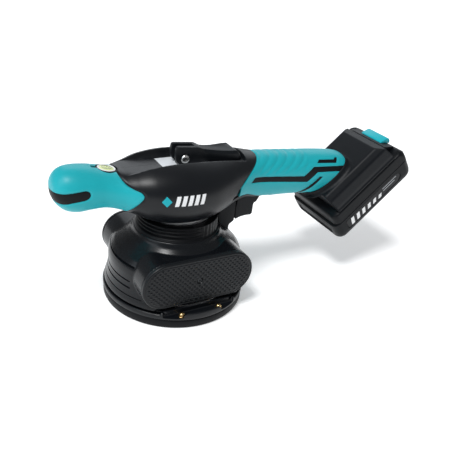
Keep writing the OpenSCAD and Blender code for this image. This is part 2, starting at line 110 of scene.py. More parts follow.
def bake_modifiers(obj):
    graph = bpy.context.evaluated_depsgraph_get()
    mesh = bpy.data.meshes.new_from_object(obj.evaluated_get(graph))
    old = obj.data
    obj.modifiers.clear()
    obj.data = mesh
    bpy.data.meshes.remove(old)


def combine(obj, tool, operation):
    """Boolean of obj with a closed tool, which is used up."""
    step = obj.modifiers.new("combine", "BOOLEAN")
    step.operation = operation
    step.solver = "MANIFOLD"
    step.object = tool
    bake_modifiers(obj)
    if not len(obj.data.vertices):
        raise RuntimeError(f"{obj.name} is empty after {operation} with {tool.name}")
    bpy.data.objects.remove(tool)
    return obj


def cut(obj, tool):
    return combine(obj, tool, "DIFFERENCE")


def common(obj, tool):
    return combine(obj, tool, "INTERSECT")


def joined(obj, tool):
    return combine(obj, tool, "UNION")


def copy_of(obj, name):
    twin = obj.copy()
    twin.data = obj.data.copy()
    twin.name = name
    bpy.context.scene.collection.objects.link(twin)
    return twin


def place(obj, matrix):
    """Moves the mesh itself; the matrix's shift is in millimetres."""
    moved = matrix.copy()
    moved.translation = moved.translation * MM
    obj.data.transform(moved)
    if moved.determinant() < 0:
        obj.data.flip_normals()
    return obj


def grid_faces(rows, cols, closed=True):
    start = np.arange(rows - 1)[:, None] * cols
    col = np.arange(cols if closed else cols - 1)[None, :]
    a = start + col
    b = start + (col + 1) % cols
    return np.stack([a, b, b + cols, a + cols], -1).reshape(-1, 4).tolist()


def rim_of(rows, cols):
    """Indices round the edge of a grid of points."""
    rim = list(range(cols)) + [cols * (k + 1) + cols - 1 for k in range(rows - 1)]
    rim += [rows * cols - 2 - k for k in range(cols - 1)]
    return rim + [cols * (rows - 2 - k) for k in range(rows - 2)]


def wall_faces(rim, n):
    """Faces that join the rim of one layer of n points to the same rim in the next."""
    return [[b, a, n + a, n + b] for a, b in zip(rim, rim[1:] + rim[:1])]


def plate_of(name, layers, rows, cols):
    """Closed plate between two grids of points."""
    n = rows * cols
    faces = grid_faces(rows, cols, closed=False)
    faces = faces + [[n + k for k in reversed(f)] for f in faces]
    faces += wall_faces(rim_of(rows, cols), n)
    points = np.concatenate([layer.reshape(-1, 3) for layer in layers])
    return outward(new_piece(name, points, faces))


def tube(name, rings):
    """Closed solid through rings of equal length, with a fan on each end."""
    rings = np.asarray(rings, float)
    rows, cols = rings.shape[:2]
    ends = [rings[0].mean(0), rings[-1].mean(0)]
    points = np.concatenate([rings.reshape(-1, 3), ends])
    faces = grid_faces(rows, cols)
    first, last = rows * cols, rows * cols + 1
    top = (rows - 1) * cols
    faces += [[first, (k + 1) % cols, k] for k in range(cols)]
    faces += [[last, top + k, top + (k + 1) % cols] for k in range(cols)]
    return outward(new_piece(name, points, faces))


def outward(obj):
    """Turns the faces outwards if the solid's volume comes out negative."""
    mesh = obj.data
    mesh.calc_loop_triangles()
    co = np.zeros(len(mesh.vertices) * 3)
    mesh.vertices.foreach_get("co", co)
    tri = np.zeros(len(mesh.loop_triangles) * 3, int)
    mesh.loop_triangles.foreach_get("vertices", tri)
    corners = co.reshape(-1, 3)[tri.reshape(-1, 3)]
    normals = np.cross(corners[:, 1], corners[:, 2])
    volume = np.einsum("ij,ij->i", corners[:, 0], normals).sum()
    if volume < 0:
        mesh.flip_normals()
    return obj


def lathe(name, profile, around=192, shape=None):
    """Solid of revolution about Z through a closed profile of (radius, height)."""
    profile = np.asarray(profile, float)
    angle = np.linspace(0, 2 * pi, around, endpoint=False)
    radius = np.maximum(profile[:, 0], 0.02)[None, :].repeat(around, 0)
    height = profile[:, 1][None, :].repeat(around, 0)
    if shape:
        radius, height = shape(radius, height, angle[:, None])
    points = np.stack([radius * np.cos(angle)[:, None], radius * np.sin(angle)[:, None], height], -1)
    cols = len(profile)
    points = np.concatenate([points, points[:1]])
    faces = np.array(grid_faces(around + 1, cols)) % (around * cols)
    return outward(new_piece(name, points[:-1].reshape(-1, 3), faces.tolist()))


def prism(outline, y0, y1, name="tool"):
    """Prism along Y through an outline in X and Z."""
    n = len(outline)
    points = [(x, y, z) for y in (y0, y1) for x, z in outline]
    faces = [list(range(n)), list(range(2 * n - 1, n - 1, -1))]
    faces += [[(k + 1) % n, k, n + k, n + (k + 1) % n] for k in range(n)]
    return outward(new_piece(name, points, faces))


def drill(radius, low, high, around=96):
    """Upright round cutter."""
    return lathe("tool", [(0, low), (radius, low), (radius, high), (0, high)], around)


def block(low, high, name="tool"):
    outline = [(low[0], low[2]), (high[0], low[2]), (high[0], high[2]), (low[0], high[2])]
    return prism(outline, low[1], high[1], name)


def rod_y(radius, x, z, y0, y1, sides=48, name="tool"):
    turn = np.linspace(0, 2 * pi, sides, endpoint=False)
    circle = [(x + radius * cos(a), z + radius * sin(a)) for a in turn]
    return prism(circle, y0, y1, name)


def rounded(path, radius, closed=True, steps=5):
    """The path with its corners rounded off by short curves."""
    path = [np.array(p, float) for p in path]
    n = len(path)
    made = []
    for k, p in enumerate(path):
        if not closed and k in (0, n - 1):
            made.append(p)
            continue
        a, b = path[k - 1] - p, path[(k + 1) % n] - p
        la, lb = np.linalg.norm(a), np.linalg.norm(b)
        start, end = p + a * min(radius / la, 0.48), p + b * min(radius / lb, 0.48)
        for t in np.linspace(0, 1, steps + 1):
            made.append((1 - t) ** 2 * start + 2 * t * (1 - t) * p + t * t * end)
    return made


def bevelled(obj, width, segments=3, angle=30):
    step = obj.modifiers.new("bevel", "BEVEL")
    step.width = width * MM
    step.segments = segments
    step.limit_method = "ANGLE"
    step.angle_limit = radians(angle)
    bake_modifiers(obj)
    return obj


def moulded(obj, voxel, passes, factor=0.5):
    """Remeshes a joined solid evenly and rounds its creases, as a moulding has them."""
    step = obj.modifiers.new("remesh", "REMESH")
    step.mode = "VOXEL"
    step.voxel_size = voxel * MM
    soft = obj.modifiers.new("smooth", "SMOOTH")
    soft.factor = factor
    soft.iterations = passes
    bake_modifiers(obj)
    return obj


def finish_piece(obj, material, body="root", replaces=(), angle=32):
    """Material, shading, body and the CAD nodes that the piece stands for."""
    obj.data.materials.clear()
    obj.data.materials.append(material)
    for poly in obj.data.polygons:
        poly.material_index = 0
    obj.data.polygons.foreach_set("use_smooth", [True] * len(obj.data.polygons))
    obj.data.set_sharp_from_angle(angle=radians(angle))
    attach(obj, body)
    if replaces:
        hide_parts(*replaces)
    return obj


def step_between(a, b, value):
    """Smooth step from 0 at a to 1 at b."""
    t = np.clip((value - a) / (b - a), 0, 1)
    return t * t * (3 - 2 * t)


# ---- materials
def noise(tree, vector, scale, detail):
    node = tree.nodes.new("ShaderNodeTexNoise")
    node.inputs["Scale"].default_value = scale
    node.inputs["Detail"].default_value = detail
    tree.links.new(vector, node.inputs["Vector"])
    return node.outputs["Fac"]


def toned(tree, cloud, colour, tone):
    """Colour that drifts a little with the cloud."""
    ramp = tree.nodes.new("ShaderNodeValToRGB")
    low, high = ramp.color_ramp.elements[0], ramp.color_ramp.elements[1]
    low.position, high.position = 0.3, 0.7
    low.color = (*[c * (1 - tone) for c in colour], 1)
    high.color = (*[min(c * (1 + tone), 1) for c in colour], 1)
    tree.links.new(cloud, ramp.inputs["Fac"])
    return ramp.outputs["Color"]


def worn(tree, base, colour, wear):
    """Paler colour along convex edges, as rubbed plastic has."""
    geometry = tree.nodes.new("ShaderNodeNewGeometry")
    edge = tree.nodes.new("ShaderNodeMapRange")
    edge.inputs["From Min"].default_value = 0.52
    edge.inputs["From Max"].default_value = 0.62
    edge.inputs["To Max"].default_value = wear
    tree.links.new(geometry.outputs["Pointiness"], edge.inputs["Value"])
    mix = tree.nodes.new("ShaderNodeMix")
    mix.data_type = "RGBA"
    mix.inputs["B"].default_value = (*[min(c * 1.6 + 0.02, 1) for c in colour], 1)
    tree.links.new(edge.outputs["Result"], mix.inputs["Factor"])
    tree.links.new(base, mix.inputs["A"])
    return mix.outputs["Result"]


def shader(name, colour, rough, metallic=0.0, tone=0.08, grain=2600, bump=0.12, wear=0.0,
           patches=28, streak=None, settings=None):
    """Material with fine moulded grain, slight tone changes, and paler worn edges."""
    mat = bpy.data.materials.new(name)
    mat.use_nodes = True
    tree = mat.node_tree
    make, link = tree.nodes.new, tree.links.new
    bsdf = tree.nodes["Principled BSDF"]
    bsdf.inputs["Metallic"].default_value = metallic
    for key, value in (settings or {}).items():
        bsdf.inputs[key].default_value = value
    place_in = make("ShaderNodeTexCoord")
    mapping = make("ShaderNodeMapping")
    mapping.inputs["Scale"].default_value = streak or (1, 1, 1)
    link(place_in.outputs["Object"], mapping.inputs["Vector"])
    cloud = noise(tree, mapping.outputs["Vector"], patches, 5)
    base = toned(tree, cloud, colour, tone)
    if wear:
        base = worn(tree, base, colour, wear)
    link(base, bsdf.inputs["Base Color"])
    rough_map = make("ShaderNodeMapRange")
    rough_map.inputs["To Min"].default_value = max(rough - 0.06, 0.02)
    rough_map.inputs["To Max"].default_value = min(rough + 0.06, 1)
    link(cloud, rough_map.inputs["Value"])
    link(rough_map.outputs["Result"], bsdf.inputs["Roughness"])
    relief = make("ShaderNodeBump")
    relief.inputs["Strength"].default_value = bump
    relief.inputs["Distance"].default_value = 0.0002
    link(noise(tree, mapping.outputs["Vector"], grain, 2), relief.inputs["Height"])
    link(relief.outputs["Normal"], bsdf.inputs["Normal"])
    return mat


DULL = {"Specular IOR Level": 0.16}
SHINY = {"Specular IOR Level": 0.26}
SLEEK = {"Specular IOR Level": 0.34}
black = shader("satin_black", (0.0034, 0.0044, 0.0062), 0.34, bump=0.2, wear=0.15, settings=SLEEK)
black_gloss = shader("gloss_black", (0.0048, 0.0058, 0.0074), 0.25, bump=0.08, wear=0.15,
                     settings=SHINY)
pack_black = shader("battery_plastic", (0.0028, 0.0038, 0.0052), 0.4, bump=0.15, wear=0.15,
                    settings=DULL)
slate = shader("slate_plastic", (0.0055, 0.007, 0.009), 0.42, bump=0.25, wear=0.15, settings=DULL)
dock_grey = shader("dock_plastic", (0.0055, 0.0068, 0.0088), 0.44, bump=0.35, wear=0.2, settings=DULL)
inlay_black = shader("inlay_rubber", (0.0042, 0.005, 0.0064), 0.5, bump=0.3, settings=DULL)
cover_black = shader("cover_rubber", (0.005, 0.0062, 0.0078), 0.34, bump=0.2, wear=0.5,
                     settings=SHINY)
bellows_black = shader("bellows_rubber", (0.0026, 0.0031, 0.004), 0.4, bump=0.2, wear=0.2,
                       settings=DULL)
cup_black = shader("cup_rubber", (0.004, 0.0045, 0.0056), 0.5, bump=0.3, settings=DULL)
teal = shader("teal_overmould", (0.011, 0.4, 0.455), 0.39, tone=0.04, bump=0.3, wear=0.05,
              settings={"Specular IOR Level": 0.3})
teal_hard = shader("teal_plastic", (0.008, 0.4, 0.47), 0.35, tone=0.05, bump=0.15, wear=0.05,
                   settings=SHINY)
dark_steel = shader("blackened_steel", (0.05, 0.052, 0.056), 0.35, metallic=1, tone=0.15, grain=900,
                    bump=0.2)
steel = shader("machined_steel", (0.62, 0.62, 0.61), 0.28, metallic=1, tone=0.12, grain=900, bump=0.15,
               streak=(1, 1, 6))
alloy = shader("cast_alloy", (0.55, 0.56, 0.57), 0.4, metallic=1, tone=0.1, grain=1500, bump=0.3)
iron = shader("sintered_iron", (0.22, 0.22, 0.225), 0.55, metallic=1, tone=0.2, grain=1800, bump=0.5)
copper = shader("lacquered_windings", (0.55, 0.22, 0.07), 0.35, metallic=0.8, tone=0.25, grain=1100,
                bump=0.5, streak=(1, 8, 1))
brass = shader("turned_brass", (0.75, 0.52, 0.24), 0.24, metallic=1, tone=0.12, grain=900, bump=0.12)
plate_white = shader("cam_plate_plastic", (0.66, 0.69, 0.72), 0.45, tone=0.04, bump=0.15, wear=0.1)
green_board = shader("solder_mask", (0.02, 0.16, 0.05), 0.35, tone=0.15, grain=700, bump=0.2)
red_plastic = shader("red_plastic", (0.45, 0.04, 0.02), 0.35, tone=0.08)
cell_blue = shader("cell_sleeve", (0.04, 0.14, 0.42), 0.3, tone=0.06, bump=0.05)
white_print = shader("white_print", (0.86, 0.87, 0.88), 0.5, tone=0.03, bump=0.1)
grey_print = shader("grey_print", (0.3, 0.31, 0.33), 0.5, tone=0.05, bump=0.1)
fluid_green = shader("level_fluid", (0.8, 0.9, 0.42), 0.12, tone=0.05, bump=0.0, patches=90,
                     settings={"Transmission Weight": 0.15, "IOR": 1.36})
vial_clear = shader("vial_clear", (0.93, 0.97, 0.86), 0.05, tone=0.02, bump=0.0,
                    settings={"Transmission Weight": 0.9, "IOR": 1.45})


# ---- upper body form
# Stations along the handle: x, lowest z, highest z, half width
STATIONS = np.array([
    [-106.4, 109, 113.5, 2], [-105, 104, 119, 8.5], [-101.5, 98.5, 123.8, 13.5], [-96, 94.2, 126.8, 17],
    [-88, 92.3, 127.6, 19], [-78, 93.2, 126.7, 19.6], [-67, 93.6, 124.6, 20], [-56, 91, 123.2, 23],
    [-45, 86.2, 125, 28.5], [-32, 79.6, 128.4, 35], [-16, 75.4, 130.2, 39], [0, 74, 130.2, 40],
    [16, 75.4, 129.6, 38], [30, 79, 128.9, 33], [43, 83, 128.2, 27], [55, 84.4, 127, 22],
    [68, 83.2, 124.6, 19], [82, 82.2, 123.6, 18.2], [100, 81.5, 122.2, 18], [120, 80, 120.6, 18],
    [140, 78.4, 118.8, 18], [158, 77.5, 116.4, 18], [166, 81, 113.4, 16.5], [170.5, 88, 106.5, 12]])
LAST = len(STATIONS) - 1
POWER = 0.9


def station(i):
    """Catmull-Rom value of the stations at fractional indices i."""
    k = np.clip(np.floor(i).astype(int), 0, LAST - 1)
    t = (i - k)[:, None]
    a, b = STATIONS[np.maximum(k - 1, 0)], STATIONS[k]
    c, d = STATIONS[k + 1], STATIONS[np.minimum(k + 2, LAST)]
    return b + 0.5 * t * (c - a + t * (2 * a - 5 * b + 4 * c - d + t * (3 * (b - c) + d - a)))


FINE = np.linspace(0, LAST, 6000)
FINE_STATIONS = station(FINE)
FINE_STEPS = np.linalg.norm(np.diff(FINE_STATIONS, axis=0), axis=1)
FINE_LENGTH = np.concatenate([[0], np.cumsum(FINE_STEPS)])


def flank(x, z, out=0.0):
    """Half width of the body at places x and z on its flank, moved outwards by out."""
    at = station(np.interp(np.atleast_1d(x), FINE_STATIONS[:, 0], FINE))
    middle = (at[:, 1] + at[:, 2]) / 2
    half = (at[:, 2] - at[:, 1]) / 2 + out
    share = np.clip(np.abs(z - middle) / half, 0, 1) ** (1 / POWER)
    return (at[:, 3] + out) * (1 - share ** 2) ** (POWER / 2)


def body_form(name, depth=0.0, step=0.8, around=224, shapes=(), span=None):
    """Closed solid of the body, moved inwards by depth, with the given surface changes."""
    ends = span or (FINE_STATIONS[0, 0] + depth, FINE_STATIONS[-1, 0] - depth)
    lengths = np.interp(ends, FINE_STATIONS[:, 0], FINE_LENGTH)
    count = int((lengths[1] - lengths[0]) / step) + 2
    at = station(np.interp(np.linspace(*lengths, count), FINE_LENGTH, FINE))
    angle = np.linspace(0, 2 * pi, around, endpoint=False)
    c, s = np.cos(angle), np.sin(angle)
    middle = ((at[:, 1] + at[:, 2]) / 2)[:, None]
    height = np.maximum((at[:, 2] - at[:, 1])[:, None] / 2 - depth, 0.4)
    width = np.maximum(at[:, 3][:, None] - depth, 0.4)
    x = at[:, 0][:, None] + 0 * c
    y = width * np.sign(c) * np.abs(c) ** POWER
    z = middle + height * np.sign(s) * np.abs(s) ** POWER
    for shape in shapes:
        x, y, z = shape(x, y, z, middle)
    return tube(name, np.stack([x, y, z], -1))


def distance_to(path, x, z, closed):
    path = np.array(path)
    ends = np.roll(path, -1, 0) if closed else path[1:]
    starts = path if closed else path[:-1]
    best = np.full(x.shape, 1e9)
    for a, b in zip(starts, ends):
        d = b - a
        t = np.clip(((x - a[0]) * d[0] + (z - a[1]) * d[1]) / max(d @ d, 1e-9), 0, 1)
        best = np.minimum(best, np.hypot(x - a[0] - t * d[0], z - a[1] - t * d[1]))
    return best


def pressed(x, y, z, middle, push):
    """The surface moved inwards by push, towards the form's middle line."""
    length = np.maximum(np.hypot(y, z - middle), 1e-6)
    return x, y - push * y / length, z - push * (z - middle) / length


def groove(path, depth, width, closed=False, side_only=False):
    """Surface change that presses a soft groove along a path in X and Z."""
    def change(x, y, z, middle):
        away = distance_to(path, x, z, closed)
        push = depth * np.exp(-((away / width) ** 2))
        if side_only:
            push = push * step_between(3, 6, np.abs(y))
        return pressed(x, y, z, middle, push)
    return change


def lower_top(x, y, z, middle):
    """Flat channel along the top between two shoulders, running out at the level."""
    floor = CHANNEL_Z + 8 * step_between(13.2, 19, np.abs(y)) + 9 * step_between(52.4, 54.6, x)
    floor = floor + 1.5 * step_between(-50, -58, x) + 30 * step_between(-58, -63, x)
    soft = 1.8
    share = np.clip(0.5 + 0.5 * (floor - z) / soft, 0, 1)
    lowered = floor * (1 - share) + z * share - soft * share * (1 - share)
    return x, y, np.where(z > middle + 5, lowered, z)


def ripples(x, y, z, middle):
    """Slanted finger ripples on the upper half of the rear grip."""
    wave = (1 + np.cos(2 * pi * (x - 1.45 * (z - 117) - 73) / 10.6)) / 2
    where = step_between(62, 70, x) * step_between(124, 116, x) * step_between(107, 112, z)
    return pressed(x, y, z, middle, 0.55 * wave ** 2 * where)


# Outlines on the flank, in X and Z
grip_edge = rounded([
    (-57.5, 131), (-57.3, 122), (-54, 116.6), (-48.5, 113.6), (-43.2, 111.8), (-42.2, 108.4),
    (-46, 103), (-50, 97.5), (-52, 90), (-53, 78)], 2.6, closed=False)
rear_edge = rounded([
    (69.4, 131), (68.6, 124.4), (64, 120), (54, 112.8), (47, 107.6), (41, 102), (35.2, 95.2),
    (46, 94.8), (56, 93.4), (62, 90.6), (72, 86), (84, 84.4), (85.6, 70)], 2.2, closed=False)
nose_band = rounded([
    (-125, 112.6), (-106, 112.2), (-100, 112.6), (-94, 113.8), (-84, 115.2), (-81, 113.6),
    (-80.8, 110.2), (-83.6, 107.8), (-93, 106), (-100, 103.4), (-106, 103.6), (-125, 104)], 2)
zigzag = rounded([
    (56.4, 104.8), (60.6, 108.8), (114.5, 102.8), (125, 110), (190, 105), (190, 100.6),
    (129.4, 104.8), (119, 96.6)], 0.6)
l_stripe = rounded([
    (129.3, 112.6), (132.3, 114.8), (149.7, 113.2), (152, 114.4), (154.4, 114), (151.6, 110.4)], 0.4)
slant = rounded([(112, 82), (132.4, 100.4), (136, 99.8), (119, 82), (116, 76), (106, 76)], 0.4)
STRIPES = (zigzag, l_stripe, slant)


def front_zone(shift):
    return [(-130, 131), *[(x + shift, z) for x, z in grip_edge], (-130, 78)]


def rear_zone(shift):
    return [*[(x + shift, z) for x, z in rear_edge], (190, 70), (190, 131)]


def dock_block():
    """Everything beyond the dock's top face."""
    return place(block((100, -60, -90), (270, 60, -DOCK_T)), tilted)


def level_place():
    return Matrix.Translation((LEVEL[0], 0, LEVEL[1])) @ Matrix.Rotation(LEVEL[2], 4, "Y")


def level_pocket():
    return place(drill(8.5, -8, 20, 192), level_place())


def trigger_bay():
    outline = [(50, 60), (50, 98), (66.5, 98), (72, 95), (86, 94), (86, 60)]
    return prism(outline, -8.9, 8.9)


def core_tool():
    """What lies under the grips' skin."""
    return body_form("tool", CORE_DEPTH + 0.05, step=2, around=96)


# Housing screws on the far side: x, z, and the depth of the hole's floor along Y
SCREWS = [(-34, 94, 24), (25, 93, 20), (-38, 109, 20), (44, 109, 16), (98.5, 88, 8), (140, 92, 8)]


def make_housing():
    """Black upper body as two halves that meet on the middle plane."""
    edges = (groove(grip_edge, 1.0, 0.75), groove(rear_edge, 1.0, 0.75))
    whole = body_form("housing", shapes=(lower_top, *edges), around=288)
    for zone in (front_zone(0), rear_zone(0)):
        cut(whole, prism(zone, -60, 60))
    joined(whole, body_form("core", CORE_DEPTH, step=2, around=96, shapes=(lower_top,)))
    hollow = body_form("hollow", 4.8, step=3, around=64)
    cut(hollow, block((-70, -60, 116), (54, 60, 160)))
    cut(whole, hollow)
    cut(whole, dock_block())
    cut(whole, block((-200, -60, 0), (300, 60, NECK_HIGH[2])))
    cut(whole, trigger_bay())
    cut(whole, drill(ROD_HOLE, 60, 140, 48))
    cut(whole, drill(28.2, 60, 82.2))
    cut(whole, level_pocket())
    low, high = PLATE_LOW - 0.3, PLATE_HIGH + 0.3
    cut(whole, block(low, (high[0], high[1], 140)))
    for m, name, node in ((-1, "housing_shell_left", "housing_left"),
                          (1, "housing_shell_right", "housing_right")):
        half = copy_of(whole, name)
        near, far = sorted((0.07 * m, 60 * m))
        common(half, block((-150, near, 0), (250, far, 200)))
        if m > 0:
            for x, z, depth in SCREWS:
                cut(half, rod_y(2.8, x, z, depth, 60))
        finish_piece(half, black, replaces=[node])
    bpy.data.objects.remove(whole)


def make_front_grip():
    """Soft nose grip, with a black band let into it."""
    shapes = (groove(grip_edge, 0.7, 0.7), groove(nose_band, 0.7, 0.6, closed=True))
    grip = body_form("front_grip_shell", shapes=shapes)
    common(grip, prism(front_zone(-0.35), -60, 60))
    cut(grip, core_tool())
    cut(grip, prism(nose_band, -60, 60))
    cut(grip, level_pocket())
    cut(grip, place(block((-12.6, -2, 1), (0, 2, 12)), level_place()))
    finish_piece(grip, teal, replaces=["front_grip"])
    inlay = body_form("grip_inlay_band", 0.45)
    middle = np.mean(nose_band, 0)
    inner = [middle + (p - middle) * np.array([0.992, 0.95]) for p in nose_band]
    common(inlay, prism(inner, -60, 60))
    cut(inlay, core_tool())
    finish_piece(inlay, inlay_black, replaces=["grip_inlay"])


def make_rear_grip():
    """Soft handle grip with finger ripples, and the black stripes let into its flanks."""
    shapes = [ripples, groove(rear_edge, 0.7, 0.7)]
    shapes += [groove(path, 0.5, 0.5, closed=True, side_only=True) for path in STRIPES]
    span = (44, FINE_STATIONS[-1, 0])
    grip = body_form("rear_grip_shell", shapes=shapes, span=span, step=0.7)
    common(grip, prism(rear_zone(0.35), -60, 60))
    cut(grip, core_tool())
    stripes = body_form("grip_stripe_inlays", 0.4, span=span)
    bands = None
    for path in STRIPES:
        for y0, y1 in ((-60, -4), (4, 60)):
            cut(grip, prism(path, y0, y1))
            band = prism(path, y0, y1)
            bands = joined(bands, band) if bands else band
    common(stripes, bands)
    for obj in (grip, stripes):
        cut(obj, dock_block())
        cut(obj, trigger_bay())
    cut(stripes, core_tool())
    for x, z, depth in SCREWS[-2:]:
        cut(grip, rod_y(2.8, x, z, depth, 60))
    finish_piece(grip, teal, replaces=["rear_grip"])
    finish_piece(stripes, inlay_black, replaces=["grip_stripes"])


def flank_patch(name, corners, material, lift=0.12, count=12):
    """Thin printed patch on the near flank, from four corners in X and Z."""
    a, b, c, d = [np.array(p, float) for p in corners]
    u = np.linspace(0, 1, count)[:, None, None]
    v = np.linspace(0, 1, count)[None, :, None]
    flat = (1 - u) * (1 - v) * a + u * (1 - v) * b + u * v * c + (1 - u) * v * d
    x, z = flat[..., 0], flat[..., 1]
    layers = []
    for out in (lift, -0.3):
        y = -flank(x.ravel(), z.ravel(), out).reshape(x.shape)
        layers.append(np.stack([x, y, z], -1))
    return finish_piece(plate_of(name, layers, count, count), material)


def make_flank_marks():
    """Plain marks on the near flank: a teal diamond and five slanted white bars."""
    low, high = 102.4, 110.4
    mid = (low + high) / 2
    diamond = [(-31.2, mid), (-27.4, low - 0.3), (-23.6, mid), (-27.4, high + 0.3)]
    flank_patch("flank_mark_teal", diamond, teal_hard)
    for k in range(5):
        x = -21.6 + 5.2 * k
        flank_patch(f"flank_mark_bar_{k}", [(x, low), (x + 3.2, low), (x + 5.2, high), (x + 2.0, high)],
                    white_print)


make_housing()
make_front_grip()
make_rear_grip()
make_flank_marks()


# ---- lower housing, neck and base
def stadium(count, inset=0.0):
    """Outline of a pod, as points in X and Z."""
    r, c = POD_R - inset, POD_L - POD_R
    turn = np.linspace(-pi / 2, pi / 2, count)
    right = [(c + r * cos(a), POD_Z + r * sin(a)) for a in turn]
    return right + [(-x, 2 * POD_Z - z) for x, z in right]


def side_cut(z, low_angle, high_angle, outer, depth, height):
    """Ring-shaped cutter over part of the turn, its ends rounded, on the front side."""
    count = 60
    angle = np.linspace(low_angle, high_angle, count)
    ends = np.sqrt(np.clip(1 - (2 * np.linspace(0, 1, count) - 1) ** 30, 0.02, 1))
    rings = []
    for a, e in zip(np.radians(angle), ends):
        half = height / 2 * e
        near, far = outer - depth, outer + 6
        corners = [(near, z - half), (far, z - half), (far, z + half), (near, z + half)]
        rings.append([(r * cos(a), r * sin(a), h) for r, h in corners])
    return tube("tool", rings)


# Grooves round the tub: height, angle where they start, depth, width
TUB_GROOVES = ((46.4, 150, 1.3, 1.7), (33, 153, 0.9, 1.5), (27.2, 152.4, 0.9, 1.5),
               (20.6, 140, 0.6, 0.9))


def make_lower_housing():
    """Round tub with its shoulder and the two long pods, softened into one moulding."""
    ring_top = RING_HIGH[2]
    profile = [
        (0, ring_top + 1), (50, ring_top + 1), (50, ring_top), (60.6, ring_top), (60.9, 15.4),
        (60.4, 17.6), (59.4, 20.5), (58.5, 25), (57.7, 31), (57.7, 40), (57.2, 43.6), (55.6, 47.2),
        (52.4, 50.8), (47.6, 54.4), (42.6, 58.2), (38.6, 62.2), (37, 66), (0, 66)]
    tub = lathe("lower_housing_shell", profile)
    flat = POD_Y - COVER_T
    common(tub, block((-70, -flat, 0), (70, flat, 90)))
    joined(tub, prism(stadium(40), -flat, flat))
    moulded(tub, 0.75, 9)
    for z, ends, depth, height in TUB_GROOVES:
        outer = np.interp(z, [20.6, 27.2, 33, 46.4], [59.4, 58.2, 57.7, 55.6])
        for turn in (-1, 1):
            tool = side_cut(z, ends, 180.5, outer, depth, height)
            if turn < 0:
                place(tool, Matrix.Scale(-1, 4, (0, 1, 0)))
            cut(tub, tool)
    for x in (-28, 28):
        cut(tub, rod_y(16.6, x, POD_Z, -60, 60, 96))
    cut(tub, drill(5, 0, 90, 48))
    cut(tub, drill(28, 62, 80))
    finish_piece(tub, black_gloss, replaces=["lower_housing"])


def knurl(x, z, inside):
    """Raised dots in staggered rows, clear of the rim and of the middle recess."""
    pitch = 4.5
    row = np.round(z / (pitch * 0.5))
    shift = (row % 2) * pitch / 2
    dx = (x + shift) - np.round((x + shift) / pitch) * pitch
    dz = z - row * pitch * 0.5
    dots = 0.9 * np.exp(-((dx / 0.95) ** 2 + (dz / 0.62) ** 2)) * step_between(2.6, 3.8, inside)
    return dots * step_between(3.0, 3.8, np.hypot(x, z))


def make_pod_cover(m, name, node):
    """Cover plate with a rounded rim, a knurled face and a small recess in the middle."""
    cols, rows = 260, 110
    c = POD_L - POD_R
    across = -POD_L * np.cos(np.linspace(0.0, pi, cols))
    over = np.maximum(np.abs(across) - c, 0)
    half = np.sqrt(np.maximum(POD_R ** 2 - over ** 2, 0.02))
    share = np.linspace(-1, 1, rows)
    x = across[:, None] + 0 * share[None, :]
    z = half[:, None] * share[None, :]
    inside = POD_R - np.hypot(np.maximum(np.abs(x) - c, 0), z)
    rim, height = 1.7, 1.5
    rise = np.sqrt(np.clip(1 - (1 - np.clip(inside / rim, 0, 1)) ** 2, 0, 1)) * height
    lip = 0.35 * np.exp(-(((inside - 2.2) / 0.45) ** 2))
    dish = 1.5 * step_between(2.9, 2.5, np.hypot(x, z))
    front = POD_Y - height + rise + knurl(x, z, inside) - lip - dish
    layers = [np.stack([x, y * m, z + POD_Z], -1)
              for y in (front, np.full_like(front, POD_Y - COVER_T))]
    cover = plate_of(name, layers, cols, rows)
    finish_piece(cover, cover_black, replaces=[node], angle=50)


def make_pod_screws():
    """Small dark socket screw at the bottom of each cover's middle recess."""
    whole = None
    for m in (-1, 1):
        screw = lathe("pod_screw_sockets", [
            (0, 0), (1.5, 0), (1.5, 10.4), (2.1, 10.6), (2.1, 11.8), (1.8, 12.1), (1.1, 12.1),
            (1.0, 11.2), (0, 11.2)], 40)
        turned = Matrix.Rotation(-m * pi / 2, 4, "X")
        place(screw, Matrix.Translation((0, 37 * m, POD_Z)) @ turned)
        whole = joined(whole, screw) if whole else screw
    whole.name = "pod_screw_sockets"
    finish_piece(whole, dark_steel, replaces=["pod_screws"])


def bellows(radius, height, angle):
    """Round folds over the back of the sleeve, and upright ribs over the front."""
    turn = np.abs((angle + pi) % (2 * pi) - pi)
    skin = radius > 30
    back = step_between(radians(70), radians(120), turn)
    folds = 0.85 * np.cos((height - 77.3) * 2 * pi / 3.3) * back
    folds = folds * step_between(66.4, 68.4, height)
    front = step_between(radians(92), radians(72), turn)
    ribs = 0.5 * np.abs(np.cos(turn * NECK_R / 2.3 * pi / 2)) * front
    ribs = ribs * step_between(67, 69, height)
    return radius + np.where(skin, folds + ribs, 0), height


def make_neck():
    bore = 28.4
    heights = np.linspace(NECK_LOW[2], NECK_HIGH[2], 70)
    outer = [(NECK_R + 2.2 * np.exp(-((h - 66) / 1.6) ** 2), h) for h in heights]
    profile = [(bore, NECK_LOW[2]), *outer, (bore, NECK_HIGH[2])]
    neck = lathe("neck_sleeve", profile, around=560, shape=bellows)
    finish_piece(neck, bellows_black, replaces=["neck_bellows"], angle=60)


def make_cable_boot():
    """Rubber column from the tub's shoulder to the upper body, behind the trigger."""
    outline = rounded([
        (33, 79.6), (36, 60.9), (38, 56.6), (46.4, 52.6), (46.8, 60.6), (51.5, 63.8), (51.6, 70),
        (51.6, 83.2), (43, 82.4)], 1.4)
    boot = prism(outline, -8.6, 8.6, "cable_boot_rubber")
    cut(boot, lathe("tool", [
        (0, 20), (57.9, 20), (57.9, 40), (57.3, 43.6), (55.7, 47.2), (52.6, 50.8), (47.8, 54.5),
        (42.8, 58.4), (38.8, 62.4), (37, 66.2), (36.8, 90), (0, 90)], 192))
    bevelled(boot, 0.8)
    finish_piece(boot, slate, replaces=["cable_boot"])


